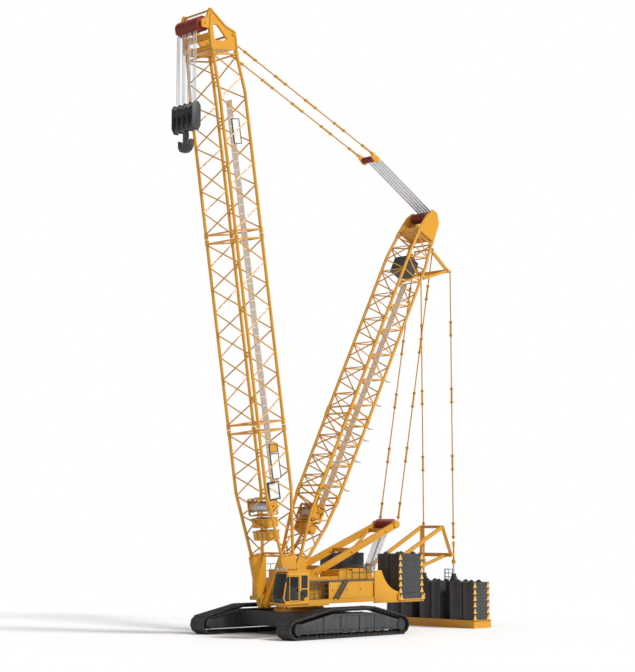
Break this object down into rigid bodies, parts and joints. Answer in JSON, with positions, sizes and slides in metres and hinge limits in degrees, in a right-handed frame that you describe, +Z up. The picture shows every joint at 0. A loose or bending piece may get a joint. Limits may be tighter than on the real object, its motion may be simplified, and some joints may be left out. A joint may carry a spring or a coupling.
{
  "type": "crawler crane scale model, 1 to 2",
  "caption": "Half-size crawler crane: slewing platform on tracks, lattice boom and derrick mast, stays, hook block and ballast tray.",
  "frame": {"origin": "middle of the overall length and width, on the ground under the tracks and the tray", "axes": "+X forward to the boom, +Y to the cab side, +Z up"},
  "size_m": [13.37, 5.35, 21.859],
  "materials": {
    "yellow_paint": "gloss enamel, lightly weathered",
    "charcoal_paint": "satin",
    "track_steel": "dusty cast steel",
    "sheave_red": "satin",
    "wire_rope": "greased strands",
    "bar_steel": "satin",
    "cab_white": "gloss enamel",
    "tinted_glass": "clear",
    "grating_tan": "matt",
    "seat_cloth": "woven",
    "chrome_rod": "polished"
  },
  "bodies": {
    "undercarriage": {"car_body": "charcoal_paint", "slew_ring": "yellow_paint", "crawler_frame_left": "charcoal_paint", "crawler_frame_right": "charcoal_paint", "track_left": "track_steel", "track_right": "track_steel"},
    "upper": {"slewing_platform": "yellow_paint", "machinery_house_left": "yellow_paint", "machinery_house_right": "yellow_paint", "railing_walkway": "charcoal_paint", "cab_shell": "yellow_paint", "cab_glass_left": "tinted_glass", "cab_glass_right": "tinted_glass", "cab_glass_front": "tinted_glass", "operator_seat": "seat_cloth", "counterweight_left": "charcoal_paint", "counterweight_right": "charcoal_paint", "push_out_frame": "yellow_paint", "superlift_tray": "yellow_paint", "superlift_stack_middle": "charcoal_paint", "superlift_stack_left": "charcoal_paint", "superlift_stack_right": "charcoal_paint", "superlift_cylinder_left": "charcoal_paint", "superlift_cylinder_right": "charcoal_paint", "gantry_ropes_fixed": "wire_rope"},
    "cab_door_leaf": {"cab_door": "yellow_paint", "cab_door_glass": "tinted_glass"},
    "mast": {"mast_foot": "yellow_paint", "mast_lower": "yellow_paint", "mast_upper": "yellow_paint", "mast_head": "yellow_paint", "mast_spreader": "yellow_paint", "mast_winch_box": "charcoal_paint", "mast_pendants": "yellow_paint", "mast_walkway": "grating_tan"},
    "mast_head_sheaves": {"mast_sheaves": "sheave_red"},
    "luffing_winch": {"luffing_drum": "charcoal_paint"},
    "gantry": {"a_frame": "yellow_paint", "gantry_ropes_moving": "wire_rope"},
    "gantry_sheaves": {"a_frame_sheaves": "sheave_red"},
    "ballast_rods": {"superlift_rods": "yellow_paint"},
    "boom": {"boom_foot": "yellow_paint", "boom_lower": "yellow_paint", "boom_upper": "yellow_paint", "boom_head": "yellow_paint", "boom_walkway": "grating_tan"},
    "hoist_winch": {"hoist_drum": "charcoal_paint"},
    "boom_head_sheaves": {"boom_sheaves": "sheave_red"},
    "hoist_falls_0": {"hoist_ropes_0": "wire_rope"},
    "hoist_falls_1": {"hoist_ropes_1": "wire_rope"},
    "hoist_falls_2": {"hoist_ropes_2": "wire_rope"},
    "hoist_falls_3": {"hoist_ropes_3": "wire_rope"},
    "load_block": {"hook_block": "charcoal_paint"},
    "load_hook": {"hook": "charcoal_paint"},
    "stays": {"boom_stays": "yellow_paint"},
    "luffing_falls_0": {"luffing_ropes_0": "wire_rope"},
    "luffing_falls_1": {"luffing_ropes_1": "wire_rope"},
    "luffing_falls_2": {"luffing_ropes_2": "wire_rope"},
    "luffing_falls_3": {"luffing_ropes_3": "wire_rope"},
    "luffing_falls_4": {"luffing_ropes_4": "wire_rope"}
  },
  "joints": [
    {"name": "slew", "type": "hinge", "parent": "undercarriage", "child": "upper", "pos_m": [1.075, 0, 1.1], "axis": [0, 0, 1], "continuous": true},
    {"name": "cab_door_hinge", "type": "hinge", "parent": "upper", "child": "cab_door_leaf", "pos_m": [3.035, 2.1125, 1.7], "axis": [0, 0, 1], "range_deg": [0, 95]},
    {"name": "mast_luff", "type": "hinge", "parent": "upper", "child": "mast", "pos_m": [2.195, 0, 1.1], "axis": [0, 1, 0], "range_deg": [0, 12]},
    {"name": "mast_sheave_spin", "type": "hinge", "parent": "mast", "child": "mast_head_sheaves", "pos_m": [-5.52775, 0, 15.93526], "axis": [0, 1, 0], "continuous": true},
    {"name": "luffing_drum_spin", "type": "hinge", "parent": "mast", "child": "luffing_winch", "pos_m": [0.55488, 0, 4.30478], "axis": [0, 1, 0], "continuous": true},
    {"name": "gantry_luff", "type": "hinge", "parent": "upper", "child": "gantry", "pos_m": [1.375, 0, 2], "axis": [0, 1, 0], "range_deg": [0, 14.09]},
    {"name": "gantry_sheave_spin", "type": "hinge", "parent": "gantry", "child": "gantry_sheaves", "pos_m": [-3.35, 0, 3.9], "axis": [0, 1, 0], "continuous": true},
    {"name": "ballast_rod_hang", "type": "hinge", "parent": "mast", "child": "ballast_rods", "pos_m": [-6.235, 0, 13.775], "axis": [0, 1, 0], "range_deg": [-12, 0]},
    {"name": "boom_luff", "type": "hinge", "parent": "mast", "child": "boom", "pos_m": [2.195, 0, 1.1], "axis": [0, -1, 0], "range_deg": [-51, 0]},
    {"name": "hoist_drum_spin", "type": "hinge", "parent": "boom", "child": "hoist_winch", "pos_m": [2.87438, 0, 4.53571], "axis": [0, 1, 0], "continuous": true},
    {"name": "boom_sheave_turn", "type": "hinge", "parent": "boom", "child": "boom_head_sheaves", "pos_m": [6.275, 0, 21.275], "axis": [0, -1, 0], "range_deg": [0, 51]},
    {"name": "hook_hang", "type": "hinge", "parent": "boom_head_sheaves", "child": "hoist_falls_0", "pos_m": [6.275, 0, 21.275], "axis": [0, 1, 0], "range_deg": [-12, 0]},
    {"name": "hook_hoist", "type": "slide", "parent": "hoist_falls_0", "child": "load_block", "axis": [0, 0, -1], "range_m": [0, 9.5]},
    {"name": "hook_swivel", "type": "hinge", "parent": "load_block", "child": "load_hook", "pos_m": [6.5, 0, 17.2], "axis": [0, 0, 1], "continuous": true},
    {"name": "stay_swing", "type": "hinge", "parent": "boom", "child": "stays", "pos_m": [5.02, 0, 21.1], "axis": [0, -1, 0], "range_deg": [0, 14.81]},
    {"name": "luffing_rope_swing", "type": "hinge", "parent": "mast", "child": "luffing_falls_0", "pos_m": [-5.52775, 0, 15.93526], "axis": [0, -1, 0], "range_deg": [-36.23, 0]},
    {"name": "hoist_rope_run_1", "type": "slide", "parent": "hoist_falls_0", "child": "hoist_falls_1", "axis": [0, 0, -1], "range_m": [0, 2.376]},
    {"name": "hoist_rope_run_2", "type": "slide", "parent": "hoist_falls_0", "child": "hoist_falls_2", "axis": [0, 0, -1], "range_m": [0, 4.751]},
    {"name": "hoist_rope_run_3", "type": "slide", "parent": "hoist_falls_0", "child": "hoist_falls_3", "axis": [0, 0, -1], "range_m": [0, 7.126]},
    {"name": "luffing_rope_run_1", "type": "slide", "parent": "luffing_falls_0", "child": "luffing_falls_1", "axis": [0.9215, 0, 0.3883], "range_m": [0, 2.742]},
    {"name": "luffing_rope_run_2", "type": "slide", "parent": "luffing_falls_0", "child": "luffing_falls_2", "axis": [0.9215, 0, 0.3883], "range_m": [0, 5.482]},
    {"name": "luffing_rope_run_3", "type": "slide", "parent": "luffing_falls_0", "child": "luffing_falls_3", "axis": [0.9215, 0, 0.3883], "range_m": [0, 8.222]},
    {"name": "luffing_rope_run_4", "type": "slide", "parent": "luffing_falls_0", "child": "luffing_falls_4", "axis": [0.9215, 0, 0.3883], "range_m": [0, 10.962]}
  ],
  "couplings": [
    {"joint": "gantry_luff", "follows": "mast_luff", "ratio": 1.17},
    {"joint": "ballast_rod_hang", "follows": "mast_luff", "ratio": -1},
    {"joint": "hook_hang", "follows": "mast_luff", "ratio": -1},
    {"joint": "boom_sheave_turn", "follows": "boom_luff", "ratio": -1},
    {"joint": "stay_swing", "follows": "boom_luff", "ratio": -0.29},
    {"joint": "luffing_rope_swing", "follows": "boom_luff", "ratio": 0.71},
    {"joint": "hoist_rope_run_1", "follows": "hook_hoist", "ratio": 0.25},
    {"joint": "hoist_rope_run_2", "follows": "hook_hoist", "ratio": 0.5},
    {"joint": "hoist_rope_run_3", "follows": "hook_hoist", "ratio": 0.75},
    {"joint": "luffing_rope_run_1", "follows": "boom_luff", "m_per_rad": -3.0782},
    {"joint": "luffing_rope_run_2", "follows": "boom_luff", "m_per_rad": -6.1565},
    {"joint": "luffing_rope_run_3", "follows": "boom_luff", "m_per_rad": -9.2347},
    {"joint": "luffing_rope_run_4", "follows": "boom_luff", "m_per_rad": -12.313}
  ]
}
